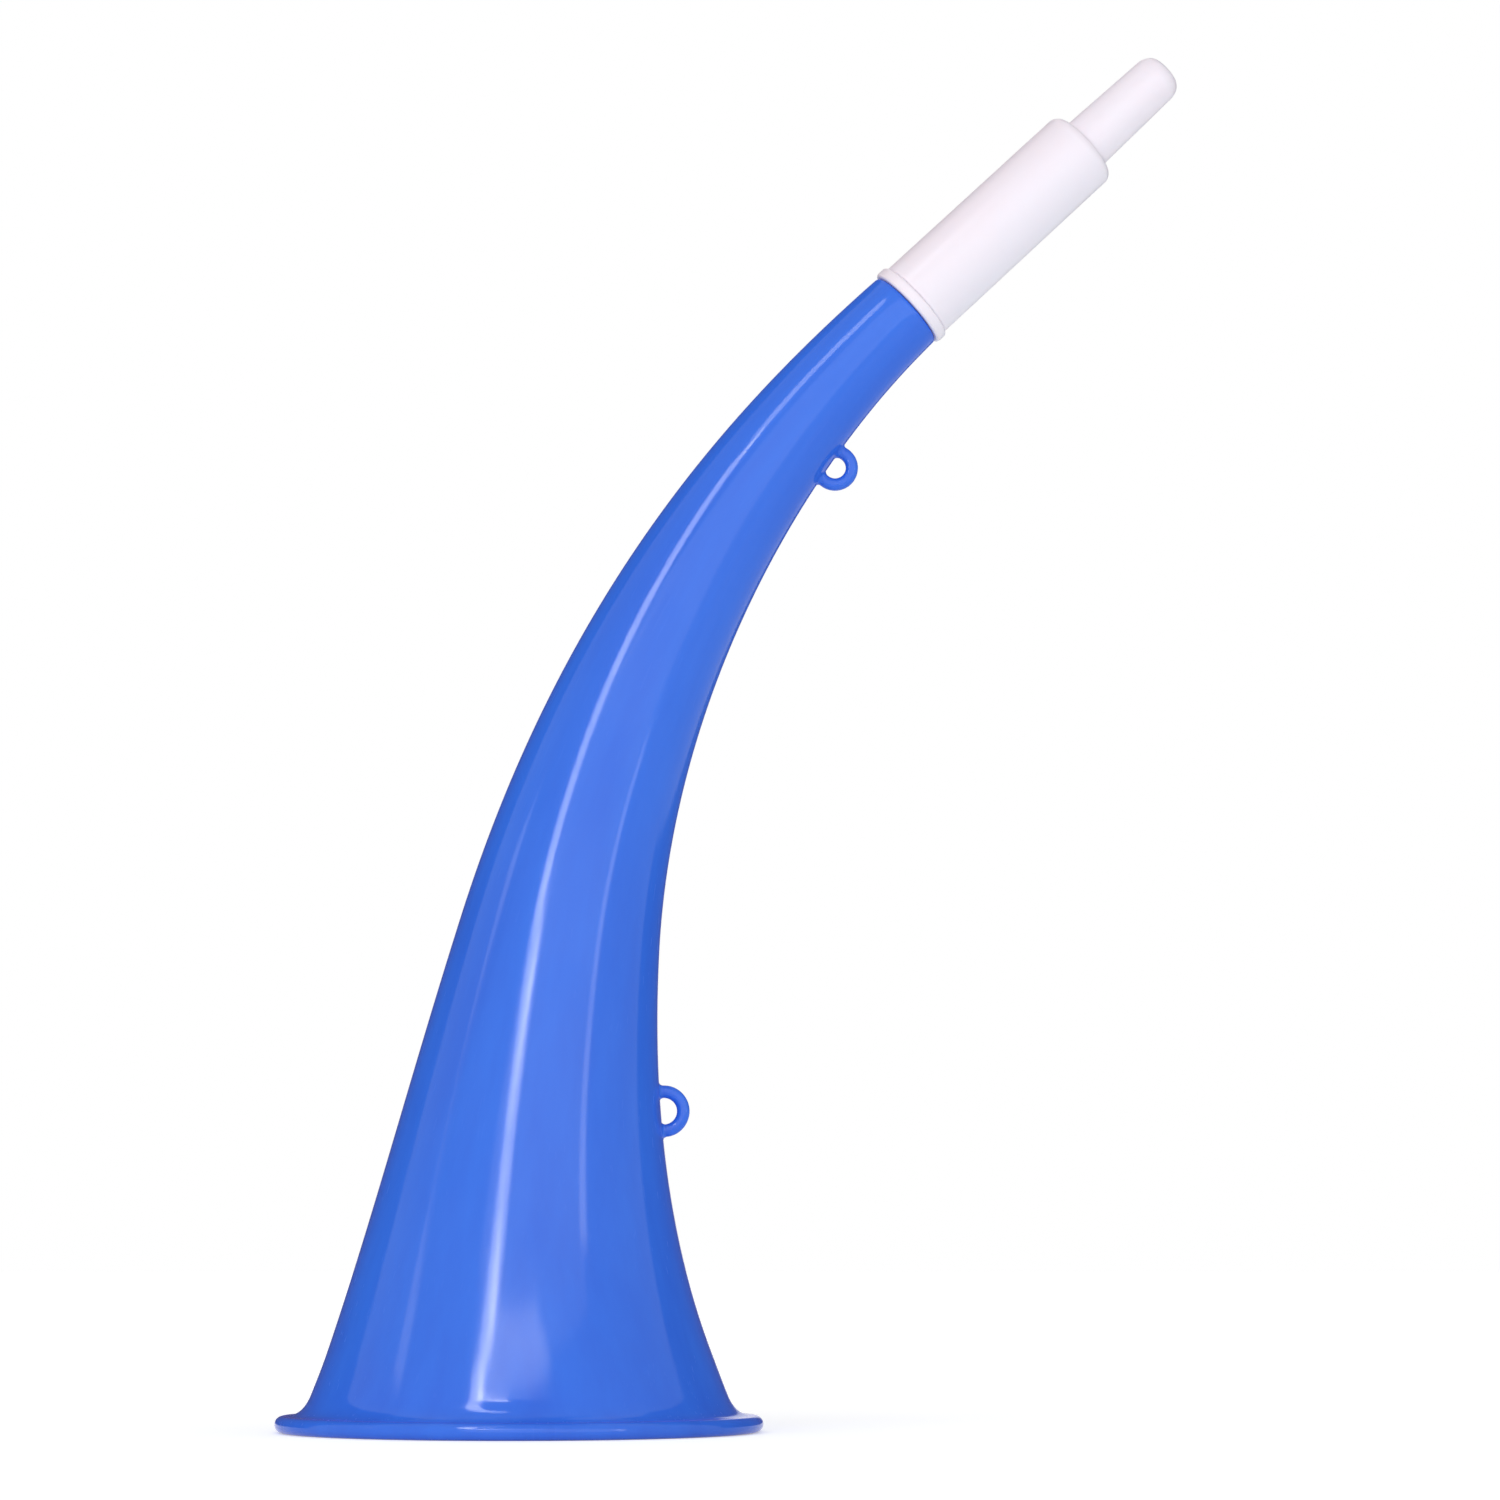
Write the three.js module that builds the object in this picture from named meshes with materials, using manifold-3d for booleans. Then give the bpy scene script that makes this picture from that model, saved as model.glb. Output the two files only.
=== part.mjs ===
// A curved plastic stadium horn, blown by mouth and sounded by a reed in its mouthpiece.
// Lengths are in millimetres. +Z is up: the horn stands on its bell and bends towards +X.
import * as THREE from "three";
import { mergeVertices } from "three/addons/utils/BufferGeometryUtils.js";
import Module from "manifold-3d";

const wasm = await Module();
wasm.setup();

// Fits shared by all pieces
const seatGap = 0.3; // clearance where one piece seats in or on another
const overrun = 2; // how far a cutting shape runs past the face that it cuts

// Horn centreline, from the middle of the bell mouth up to the throat
const bellLeg = 14.5; // straight run above the mouth
const easeLength = 84.2; // gentle arc that starts the bend
const easeRadius = 476;
const bendLength = 151.3; // main arc up to the throat
const bendRadius = 235.5;

// Horn wall, measured as the radius of its outside
const throatRadius = 8.7;
const taperRise = 18.75; // growth of the even taper from throat to mouth
const flareRise = 13.8; // growth of the flare, which comes mostly near the mouth
const flarePower = 4.36;
const mouthRise = 4.9; // the last spread just above the lip
const mouthReach = 36;
const throatSwell = 1.25; // how far the wall spreads again over its last stretch, up to the throat
const throatReach = 22.5;
const hornWall = 1.5;
const throatEdge = 0.8; // chamfer round the throat's end

// Rolled lip round the bell mouth
const lipReach = 4; // how far the lip stands out past the wall
const lipHeight = 3.3;
const lipRound = 1.6; // rounding of the lip's two outer edges
const lipLedge = 2.2; // flat top of the lip, inwards from its outer edge
const lipBlend = 4; // height above the lip where the wall's sweep into it starts

// Straight socket in the throat, which takes the mouthpiece
const socketWall = 1.6; // left between the socket and the outside at the throat's end
const socketDepth = 15;

// Moulded eyelets on the inner side of the bend, in the plane of the parting line
const lowerEyeletRise = 67; // from the mouth, along the centreline
const lowerEyeletRadius = 5.2;
const lowerEyeletHoleRadius = 2.65;
const lowerEyeletStandoff = 0.6; // ring centre outside the horn wall
const upperEyeletDrop = 35.4; // from the throat, along the centreline
const upperEyeletRadius = 4.7;
const upperEyeletHoleRadius = 2.2;
const upperEyeletStandoff = 1.2;
const eyeletThickness = 2.6;
const eyeletRound = 0.7; // rounding of the ring's edges
const eyeletFoot = 0.8; // fillet where the ring meets the wall

// Mouthpiece barrel with its blow tube
const barrelFootRadius = 8.65;
const barrelDraft = 0.15; // the barrel is slimmer by this at its top
const barrelWall = 1.45; // at the foot
const barrelHeight = 47.6; // from its foot to the shoulder face
const barrelFootRound = 0.4;
const shoulderRound = 2;
const shoulderWall = 2.4;
const tubeTipRadius = 5.1;
const tubeDraft = 0.45; // the tube is stouter by this at its foot
const tubeLength = 23.2;
const tubeWall = 2.7; // at the tip
const tubeTipLand = 0.2; // flat end left round the tube's bore
const tubeTipRise = 3.4; // length of the tip's rounding
const tubeFillet = 1.4; // where the tube meets the shoulder

// Reed block: a flanged plug with a spigot at each end
const flangeReach = 0.6; // how far the flange stands out past the throat
const flangeHeight = 2.2;
const flangeRound = 0.6;
const lowerSpigotLength = 14;
const lowerSpigotTaper = 0.3; // the spigot narrows by this towards its end
const lowerSpigotWall = 1.5; // at its end
const upperSpigotLength = 10;
const upperSpigotWall = 1.7; // round the clamp bore, which grips the shallot, the reed and the wedge
const spigotChamfer = 0.6;
const ledgeWidth = 1.4; // ledge on which the shallot stands
const ledgeHeight = 1.5;

// Shallot: a trough of D section, closed at its tip, with a slot under the reed
const shallotHeadroom = 6.2; // from its tip to the end of the barrel's chamber
const shallotFlat = 1.2; // flat face, out from the axis
const shallotWall = 1.2;
const shallotTip = 2.5; // solid end beyond the trough
const shallotRound = 0.5;
const slotWidth = 4.6;
const slotStart = 2; // above the top of the block

// Reed: a thin tongue, held at its root and free over the slot
const reedSetback = 6.8; // from the shallot's tip down to the reed's tip
const reedSeat = 1.4; // how far the reed laps the slot on each side
const reedTipSeat = 2.5; // how far it laps the slot's end
const reedThickness = 0.35;
const reedRoot = 6; // length inside the clamp
const reedLift = 0.6; // how far the free tip stands off at rest
const reedTipRadius = 2;

// Wedge that clamps the reed against the shallot
const wedgeHeadHeight = 1.4;
const wedgeTaper = 0.25; // it is thinner by this at its lower end

// Fineness
const hornSides = 52;
const hornRings = 26;
const ringCrowding = 1.3; // rings crowd towards the mouth, where the wall curves most
const roundSides = 32;
const arcSteps = 3;
const barrelArcSteps = 4;
const eyeletSteps = 6;
const samePlaceShare = 1e-4; // of the seat gap: points closer than this are one point

const hornLength = bellLeg + easeLength + bendLength;
const mouthRadius = throatRadius + taperRise + flareRise + mouthRise - throatSwell;
const lipRadius = mouthRadius + lipReach;
const lowerEyelet = {
  distance: lowerEyeletRise,
  radius: lowerEyeletRadius,
  holeRadius: lowerEyeletHoleRadius,
  standoff: lowerEyeletStandoff,
};
const upperEyelet = {
  distance: hornLength - upperEyeletDrop,
  radius: upperEyeletRadius,
  holeRadius: upperEyeletHoleRadius,
  standoff: upperEyeletStandoff,
};
const socketRadius = throatRadius - socketWall;
const barrelTopRadius = barrelFootRadius - barrelDraft;
const barrelBoreRadius = barrelFootRadius - barrelWall;
const tubeFootRadius = tubeTipRadius + tubeDraft;
const tubeBoreRadius = tubeTipRadius - tubeWall;
const tubeTipRound = tubeWall - tubeTipLand;
const flangeRadius = throatRadius + flangeReach;
const lowerSpigotRadius = socketRadius - seatGap;
const outletRadius = lowerSpigotRadius - lowerSpigotTaper - lowerSpigotWall;
const upperSpigotRadius = barrelBoreRadius - seatGap;
const clampRadius = upperSpigotRadius - upperSpigotWall;
const ledgeRadius = clampRadius - ledgeWidth;
const shallotRadius = clampRadius - seatGap;
const reedWidth = slotWidth + 2 * reedSeat;
const wedgeHeadRadius = upperSpigotRadius - spigotChamfer;

// Places along the mouthpiece axis, counted from the throat's end
const flangeFoot = seatGap;
const flangeTop = flangeFoot + flangeHeight;
const blockTop = flangeTop + upperSpigotLength;
const barrelFoot = flangeTop + seatGap;
const shoulderFace = barrelFoot + barrelHeight;
const chamberTop = shoulderFace - shoulderWall;
const tubeTip = shoulderFace + tubeLength;
const shallotFoot = ledgeHeight + seatGap;
const shallotTop = chamberTop - shallotHeadroom;
const slotFoot = blockTop + slotStart;
const reedTip = shallotTop - reedSetback;
const slotTop = reedTip - reedTipSeat;

// Layers across the clamp, counted from the axis
const reedInside = shallotFlat + seatGap;
const reedOutside = reedInside + reedThickness;
const wedgeInside = reedOutside + seatGap;

const hornBlue = new THREE.MeshStandardMaterial({ color: "#3b70e2", roughness: 0.2, metalness: 0 });
const milkWhite = new THREE.MeshStandardMaterial({ color: "#f4eff7", roughness: 0.35, metalness: 0 });
const reedClear = new THREE.MeshStandardMaterial({ color: "#dfe5ea", roughness: 0.25, metalness: 0 });

// A closed geometry as a solid that can be joined and cut.
function solidOf(geometry) {
  const bare = geometry.clone();
  bare.deleteAttribute("normal");
  bare.deleteAttribute("uv");
  const merged = mergeVertices(bare);
  const corners = merged.index.array;
  const kept = [];
  for (let i = 0; i < corners.length; i += 3) {
    const [a, b, c] = corners.slice(i, i + 3);
    if (a !== b && b !== c && c !== a) kept.push(a, b, c);
  }
  const vertProperties = new Float32Array(merged.attributes.position.array);
  const triVerts = new Uint32Array(kept);
  return new wasm.Manifold(new wasm.Mesh({ numProp: 3, vertProperties, triVerts }));
}

function pieceOf(name, solid, material) {
  const made = solid.getMesh();
  const geometry = new THREE.BufferGeometry();
  geometry.setAttribute("position", new THREE.BufferAttribute(made.vertProperties, 3));
  geometry.setIndex(new THREE.BufferAttribute(made.triVerts, 1));
  geometry.computeVertexNormals();
  const piece = new THREE.Mesh(geometry, material);
  piece.name = name;
  return piece;
}

// The points of a path, each once, also where two of its curves meet.
function distinctPoints(path, steps) {
  const points = path.getPoints(steps);
  return points.filter((point, i) => {
    const next = points[(i + 1) % points.length];
    return point.distanceTo(next) > seatGap * samePlaceShare;
  });
}

// A turned shape about +Z. The outline is a path in radius and height.
function turned(outline, sides) {
  return new THREE.LatheGeometry(outline, sides).rotateX(Math.PI / 2);
}

// The centreline's place and turn at a distance from the mouth.
function centreline(distance) {
  const easeRun = Math.min(Math.max(distance - bellLeg, 0), easeLength);
  const bendRun = Math.max(distance - bellLeg - easeLength, 0);
  const easeTurn = easeRun / easeRadius;
  const turn = easeTurn + bendRun / bendRadius;
  const easeX = easeRadius * (1 - Math.cos(easeTurn));
  const easeZ = Math.min(distance, bellLeg) + easeRadius * Math.sin(easeTurn);
  const x = easeX + bendRadius * (Math.cos(easeTurn) - Math.cos(turn));
  const z = easeZ + bendRadius * (Math.sin(turn) - Math.sin(easeTurn));
  return { x, z, turn };
}

// The radius of the horn's outside at a distance from the mouth.
function hornRadius(distance) {
  const left = 1 - distance / hornLength;
  const flare = flareRise * left ** flarePower;
  const mouth = mouthRise * Math.exp(-distance / mouthReach);
  const swell = throatSwell * (1 - Math.exp((distance - hornLength) / throatReach));
  return throatRadius + taperRise * left + flare + mouth - swell;
}

function hornSlope(distance) {
  const left = 1 - distance / hornLength;
  const flare = (flarePower * flareRise * left ** (flarePower - 1)) / hornLength;
  const mouth = (mouthRise / mouthReach) * Math.exp(-distance / mouthReach);
  const swell = (throatSwell / throatReach) * Math.exp((distance - hornLength) / throatReach);
  return swell - taperRise / hornLength - flare - mouth;
}

// A straight turned shape, laid along the curved centreline.
function bent(outline) {
  const geometry = new THREE.LatheGeometry(outline, hornSides);
  const place = geometry.attributes.position;
  for (let i = 0; i < place.count; i++) {
    const { x, z, turn } = centreline(place.getY(i));
    const out = place.getX(i);
    place.setXYZ(i, x + out * Math.cos(turn), -place.getZ(i), z - out * Math.sin(turn));
  }
  return geometry;
}

// Distances of the rings between two places along the horn.
function ringDistances(from, to) {
  const span = to - from;
  return Array.from({ length: hornRings + 1 }, (_, i) => from + span * (i / hornRings) ** ringCrowding);
}

function lipOutline() {
  const edge = lipRadius - lipRound;
  const blendTop = lipHeight + lipBlend;
  const cornerRadius = hornRadius(blendTop) - hornSlope(blendTop) * lipBlend;
  const path = new THREE.Path();
  path.moveTo(0, 0);
  path.lineTo(edge, 0);
  path.absarc(edge, lipRound, lipRound, -Math.PI / 2, 0, false);
  path.absarc(edge, lipHeight - lipRound, lipRound, 0, Math.PI / 2, false);
  path.lineTo(lipRadius - lipLedge, lipHeight);
  path.quadraticCurveTo(cornerRadius, lipHeight, hornRadius(blendTop), blendTop);
  return path.getPoints(arcSteps);
}

function hornOutside() {
  const wallTop = hornLength - throatEdge;
  const wall = ringDistances(lipHeight + lipBlend, wallTop).slice(1);
  const outline = lipOutline();
  outline.push(...wall.map((distance) => new THREE.Vector2(hornRadius(distance), distance)));
  outline.push(new THREE.Vector2(throatRadius - throatEdge, hornLength));
  outline.push(new THREE.Vector2(0, hornLength));
  return solidOf(bent(outline));
}

function hornBore() {
  const boreTop = hornLength - socketDepth;
  const mouthBore = mouthRadius - hornWall;
  const outline = [new THREE.Vector2(0, -overrun), new THREE.Vector2(mouthBore, -overrun)];
  const wall = ringDistances(0, boreTop);
  outline.push(...wall.map((distance) => new THREE.Vector2(hornRadius(distance) - hornWall, distance)));
  outline.push(new THREE.Vector2(0, boreTop));
  return solidOf(bent(outline));
}

// The straight socket reaches back into the curved bore behind it.
function throatSocket() {
  const depth = socketDepth + overrun;
  const socket = new THREE.CylinderGeometry(socketRadius, socketRadius, depth + overrun, roundSides);
  socket.rotateX(Math.PI / 2);
  socket.translate(0, 0, (overrun - depth) / 2);
  const { x, z, turn } = centreline(hornLength);
  socket.rotateY(turn);
  socket.translate(x, 0, z);
  return solidOf(socket);
}

// The side view of an eyelet: a ring on a foot that sweeps into the wall.
function eyeletOutline({ radius, holeRadius, standoff }) {
  const rise = eyeletFoot - standoff;
  const reach = Math.sqrt((radius + eyeletFoot) ** 2 - rise ** 2);
  const lean = Math.atan2(rise, reach);
  const sink = holeRadius - standoff + 2 * eyeletRound + hornWall;
  const outline = new THREE.Path();
  outline.moveTo(reach, -sink);
  outline.lineTo(reach, 0);
  outline.absarc(reach, eyeletFoot, eyeletFoot, -Math.PI / 2, lean - Math.PI, true);
  outline.absarc(0, standoff, radius, lean, Math.PI - lean, false);
  outline.absarc(-reach, eyeletFoot, eyeletFoot, -lean, -Math.PI / 2, true);
  outline.lineTo(-reach, -sink);
  const hole = new THREE.Path();
  hole.absarc(0, standoff, holeRadius, 0, 2 * Math.PI, true);
  const ring = new THREE.Shape(distinctPoints(outline, eyeletSteps));
  ring.holes.push(new THREE.Path(distinctPoints(hole, eyeletSteps)));
  return ring;
}

function eyelet(sizes) {
  const depth = eyeletThickness - 2 * eyeletRound;
  const geometry = new THREE.ExtrudeGeometry(eyeletOutline(sizes), {
    depth,
    bevelThickness: eyeletRound,
    bevelSize: eyeletRound,
    bevelOffset: -eyeletRound,
    bevelSegments: 2,
  });
  geometry.translate(0, 0, -depth / 2);
  const { x, z, turn } = centreline(sizes.distance);
  const lean = turn + Math.atan(hornSlope(sizes.distance));
  const alongWall = new THREE.Vector3(Math.sin(lean), 0, Math.cos(lean));
  const outwards = new THREE.Vector3(Math.cos(lean), 0, -Math.sin(lean));
  const sideways = new THREE.Vector3(0, 1, 0);
  const radius = hornRadius(sizes.distance);
  const placed = new THREE.Matrix4().makeBasis(alongWall, outwards, sideways);
  placed.setPosition(x + radius * Math.cos(turn), 0, z - radius * Math.sin(turn));
  return solidOf(geometry.applyMatrix4(placed));
}

function hornBody() {
  const solid = hornOutside()
    .add(eyelet(lowerEyelet))
    .add(eyelet(upperEyelet))
    .subtract(hornBore())
    .subtract(throatSocket());
  return pieceOf("horn_body", solid, hornBlue);
}

function reedBlock() {
  const path = new THREE.Path();
  path.moveTo(outletRadius, -lowerSpigotLength);
  path.lineTo(lowerSpigotRadius - lowerSpigotTaper - spigotChamfer, -lowerSpigotLength);
  path.lineTo(lowerSpigotRadius - lowerSpigotTaper, spigotChamfer - lowerSpigotLength);
  path.lineTo(lowerSpigotRadius, flangeFoot);
  path.lineTo(flangeRadius - flangeRound, flangeFoot);
  path.absarc(flangeRadius - flangeRound, flangeFoot + flangeRound, flangeRound, -Math.PI / 2, 0, false);
  path.absarc(flangeRadius - flangeRound, flangeTop - flangeRound, flangeRound, 0, Math.PI / 2, false);
  path.lineTo(upperSpigotRadius, flangeTop);
  path.lineTo(upperSpigotRadius, blockTop - spigotChamfer);
  path.lineTo(upperSpigotRadius - spigotChamfer, blockTop);
  path.lineTo(clampRadius, blockTop);
  path.lineTo(clampRadius, ledgeHeight);
  path.lineTo(ledgeRadius, ledgeHeight);
  path.lineTo(ledgeRadius, 0);
  path.lineTo(outletRadius, 0);
  path.lineTo(outletRadius, -lowerSpigotLength);
  const solid = solidOf(turned(path.getPoints(arcSteps), roundSides));
  return pieceOf("reed_block", solid, milkWhite);
}

// An upright rod with a flat on its -X side, standing on height zero.
function flattedRod(radius, flat, length, round) {
  const path = new THREE.Path();
  path.moveTo(0, 0);
  path.lineTo(radius, 0);
  path.lineTo(radius, length - round);
  path.absarc(radius - round, length - round, round, 0, Math.PI / 2, false);
  path.lineTo(0, length);
  const rod = solidOf(turned(path.getPoints(arcSteps), roundSides));
  const side = 2 * (radius + overrun);
  const spare = new THREE.BoxGeometry(side, side, length + 2 * overrun);
  spare.translate(-flat - side / 2, 0, length / 2);
  return rod.subtract(solidOf(spare));
}

function shallot() {
  const length = shallotTop - shallotFoot;
  const troughLength = length - shallotTip + overrun;
  const trough = flattedRod(shallotRadius - shallotWall, 0, troughLength, shallotRound);
  const slotDepth = shallotFlat + overrun;
  const slot = new THREE.BoxGeometry(slotDepth, slotWidth, slotTop - slotFoot);
  slot.translate(seatGap - slotDepth / 2, 0, (slotFoot + slotTop) / 2 - shallotFoot);
  const solid = flattedRod(shallotRadius, shallotFlat, length, shallotRound)
    .subtract(trough.translate([0, 0, -overrun]))
    .subtract(solidOf(slot));
  const piece = pieceOf("shallot", solid, milkWhite);
  piece.position.z = shallotFoot;
  return piece;
}

// The reed is drawn from its side, in distance outwards and height, then given its width.
function reedTongue() {
  const rootHeight = blockTop - reedRoot;
  const side = new THREE.Shape();
  side.moveTo(-reedInside, rootHeight);
  side.lineTo(-reedInside, blockTop);
  side.lineTo(-reedInside - reedLift, reedTip);
  side.lineTo(-reedOutside - reedLift, reedTip);
  side.lineTo(-reedOutside, blockTop);
  side.lineTo(-reedOutside, rootHeight);
  side.closePath();
  const strip = new THREE.ExtrudeGeometry(side, { depth: reedWidth, bevelEnabled: false });
  strip.translate(0, 0, -reedWidth / 2);
  strip.rotateX(Math.PI / 2);

  const half = reedWidth / 2;
  const straight = reedTip - reedTipRadius;
  const face = new THREE.Shape();
  face.moveTo(-half, rootHeight - overrun);
  face.lineTo(half, rootHeight - overrun);
  face.lineTo(half, straight);
  face.absarc(half - reedTipRadius, straight, reedTipRadius, 0, Math.PI / 2, false);
  face.absarc(reedTipRadius - half, straight, reedTipRadius, Math.PI / 2, Math.PI, false);
  face.closePath();
  const depth = 2 * (reedOutside + reedLift);
  const roundTip = new THREE.ExtrudeGeometry(face, { depth, bevelEnabled: false, curveSegments: arcSteps });
  roundTip.rotateX(Math.PI / 2);
  roundTip.rotateZ(-Math.PI / 2);
  return pieceOf("reed_tongue", solidOf(strip).intersect(solidOf(roundTip)), reedClear);
}

function reedWedge() {
  const footHeight = blockTop - reedRoot;
  const headFoot = blockTop + seatGap;
  const headTop = headFoot + wedgeHeadHeight;
  const side = new THREE.Shape();
  side.moveTo(-wedgeInside - wedgeTaper, footHeight);
  side.lineTo(-wedgeInside, headTop);
  side.lineTo(-wedgeHeadRadius - overrun, headTop);
  side.lineTo(-wedgeHeadRadius - overrun, footHeight);
  side.closePath();
  const width = 2 * (wedgeHeadRadius + overrun);
  const slab = new THREE.ExtrudeGeometry(side, { depth: width, bevelEnabled: false });
  slab.translate(0, 0, -width / 2);
  slab.rotateX(Math.PI / 2);

  const path = new THREE.Path();
  path.moveTo(0, footHeight - overrun);
  path.lineTo(shallotRadius, footHeight - overrun);
  path.lineTo(shallotRadius, headFoot);
  path.lineTo(wedgeHeadRadius, headFoot);
  path.lineTo(wedgeHeadRadius, headTop + overrun);
  path.lineTo(0, headTop + overrun);
  const peg = turned(path.getPoints(), roundSides);
  return pieceOf("reed_wedge", solidOf(slab).intersect(solidOf(peg)), milkWhite);
}

function mouthpieceBarrel() {
  const roundFoot = shoulderFace - shoulderRound;
  const path = new THREE.Path();
  path.moveTo(barrelBoreRadius, barrelFoot);
  path.lineTo(barrelFootRadius - barrelFootRound, barrelFoot);
  path.lineTo(barrelFootRadius, barrelFoot + barrelFootRound);
  path.lineTo(barrelTopRadius, roundFoot);
  path.absarc(barrelTopRadius - shoulderRound, roundFoot, shoulderRound, 0, Math.PI / 2, false);
  path.quadraticCurveTo(tubeFootRadius, shoulderFace, tubeFootRadius, shoulderFace + tubeFillet);
  path.lineTo(tubeTipRadius, tubeTip - tubeTipRise);
  const roundMiddle = tubeTipRadius - tubeTipRound;
  path.absellipse(roundMiddle, tubeTip - tubeTipRise, tubeTipRound, tubeTipRise, 0, Math.PI / 2, false, 0);
  path.lineTo(tubeBoreRadius, tubeTip);
  path.lineTo(tubeBoreRadius, shoulderFace);
  path.lineTo(barrelBoreRadius, chamberTop);
  path.lineTo(barrelBoreRadius, barrelFoot);
  const solid = solidOf(turned(path.getPoints(barrelArcSteps), roundSides));
  return pieceOf("mouthpiece_barrel", solid, milkWhite);
}

// Everything on the mouthpiece axis, set on the throat's end.
function mouthpiece() {
  const group = new THREE.Group();
  group.add(reedBlock(), shallot(), reedTongue(), reedWedge(), mouthpieceBarrel());
  const { x, z, turn } = centreline(hornLength);
  group.position.set(x, 0, z);
  group.rotation.y = turn;
  return group;
}

const horn = new THREE.Group();
horn.add(hornBody(), mouthpiece());
const reach = new THREE.Box3().setFromObject(horn, true);
horn.position.x = -(reach.min.x + reach.max.x) / 2;

export default horn;
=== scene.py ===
import math

import bpy
from mathutils import Matrix, Vector


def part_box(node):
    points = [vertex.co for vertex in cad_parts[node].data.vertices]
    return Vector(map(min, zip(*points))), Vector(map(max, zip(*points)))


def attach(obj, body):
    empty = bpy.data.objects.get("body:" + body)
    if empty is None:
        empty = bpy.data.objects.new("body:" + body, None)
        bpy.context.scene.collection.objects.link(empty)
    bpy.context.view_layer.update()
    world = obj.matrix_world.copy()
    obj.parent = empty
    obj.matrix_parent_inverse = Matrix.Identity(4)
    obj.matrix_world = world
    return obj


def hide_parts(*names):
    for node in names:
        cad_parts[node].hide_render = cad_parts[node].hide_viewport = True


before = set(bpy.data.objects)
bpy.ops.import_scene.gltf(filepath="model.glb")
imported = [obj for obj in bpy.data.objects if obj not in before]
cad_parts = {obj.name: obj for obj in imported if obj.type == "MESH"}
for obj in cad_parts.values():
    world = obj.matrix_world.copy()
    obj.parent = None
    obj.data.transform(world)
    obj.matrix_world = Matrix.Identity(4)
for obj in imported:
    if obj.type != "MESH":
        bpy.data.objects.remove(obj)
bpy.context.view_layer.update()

mm = 0.001
inset = 0.01  # mm, keeps the finest edges inside the solids' box
weld = 0.002  # mm, points closer than this become one

# The photograph's view
view = {
    "location": (0.00338, -0.930, 0.03326),
    "upTilt": 6.398,  # degrees above level
    "lens": 110.23,
    "sensor": 36,
}

# Horn wall and bend, in mm along the centreline from the bell's mouth
horn = {
    "bellLeg": 14.5,  # straight run above the mouth
    "easeLength": 84.2,  # gentle arc that starts the bend
    "easeRadius": 476,
    "bendLength": 151.3,  # main arc up to the throat
    "bendRadius": 235.5,
    "throatRadius": 8.7,
    "taperRise": 18.75,
    "flareRise": 13.8,
    "flarePower": 4.36,
    "mouthRise": 4.9,
    "mouthReach": 36,
    "throatSwell": 1.25,  # spread of the last stretch up to the throat
    "throatReach": 22.5,
    "wall": 1.5,
    "throatRound": 0.8,
    "throatSteps": 4,
    "rings": 120,
    "ringCrowding": 1.3,  # rings crowd towards the mouth
    "sides": 160,
    "bendSteps": 64,
}
hornLength = horn["bellLeg"] + horn["easeLength"] + horn["bendLength"]

# Rolled lip round the bell's mouth, in mm
lip = {
    "height": 3.3,
    "round": 1.6,
    "ledge": 2.2,
    "blend": 4,
    "innerRound": 0.35,
    "innerSteps": 4,
    "arcSteps": 10,
    "sweepSteps": 12,
}

# Straight socket in the throat, in mm
socket = {
    "radius": 7.1,
    "depth": 15,
    "edge": 0.2,
    "step": 0.3,
    "slack": 0.01,  # for finding the socket's points
}


def deselectAll():
    if bpy.context.object and bpy.context.object.mode != "OBJECT":
        bpy.ops.object.mode_set(mode="OBJECT")
    bpy.ops.object.select_all(action="DESELECT")


def pick(piece):
    deselectAll()
    piece.select_set(True)
    bpy.context.view_layer.objects.active = piece


def applyModifier(piece, kind, **settings):
    pick(piece)
    modifier = piece.modifiers.new(kind.lower(), kind)
    for name, value in settings.items():
        setattr(modifier, name, value)
    bpy.ops.object.modifier_apply(modifier=modifier.name)


def smooth(piece, angle=35):
    pick(piece)
    bpy.ops.object.shade_smooth_by_angle(angle=math.radians(angle))


# Breaks the sharp edges of a finished piece
def breakEdges(piece, width):
    applyModifier(piece, "BEVEL", width=width * mm, segments=2, limit_method="ANGLE")


# Turns every face outwards and leaves edit mode
def closeEdit():
    bpy.ops.mesh.select_all(action="SELECT")
    bpy.ops.mesh.normals_make_consistent(inside=False)
    bpy.ops.object.mode_set(mode="OBJECT")


# Points of an arc in the outline's plane, between two angles in degrees
def arc(middle, radius, start, end, steps):
    points = []
    for step in range(steps + 1):
        turn = math.radians(start + (end - start) * step / steps)
        points.append((middle[0] + radius * math.cos(turn), middle[1] + radius * math.sin(turn)))
    return points


# Points of a curve that leaves one point towards a corner and reaches the other from it
def sweep(start, corner, end, steps):
    points = []
    for step in range(steps + 1):
        share = step / steps
        weights = ((1 - share) ** 2, 2 * share * (1 - share), share**2)
        axes = zip(start, corner, end)
        points.append(tuple(sum(w * p for w, p in zip(weights, axis)) for axis in axes))
    return points


# An outline in radius and height, drawn in edit mode by extruding one point
def drawOutline(name, outline):
    deselectAll()
    bpy.ops.mesh.primitive_plane_add(size=mm)
    piece = bpy.context.object
    piece.name = name
    bpy.ops.object.mode_set(mode="EDIT")
    bpy.ops.mesh.merge(type="CENTER")
    bpy.ops.transform.translate(value=(outline[0][0] * mm, 0, outline[0][1] * mm))
    for here, there in zip(outline, outline[1:]):
        step = ((there[0] - here[0]) * mm, 0, (there[1] - here[1]) * mm)
        bpy.ops.mesh.extrude_region_move(TRANSFORM_OT_translate={"value": step})
    return piece


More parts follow.
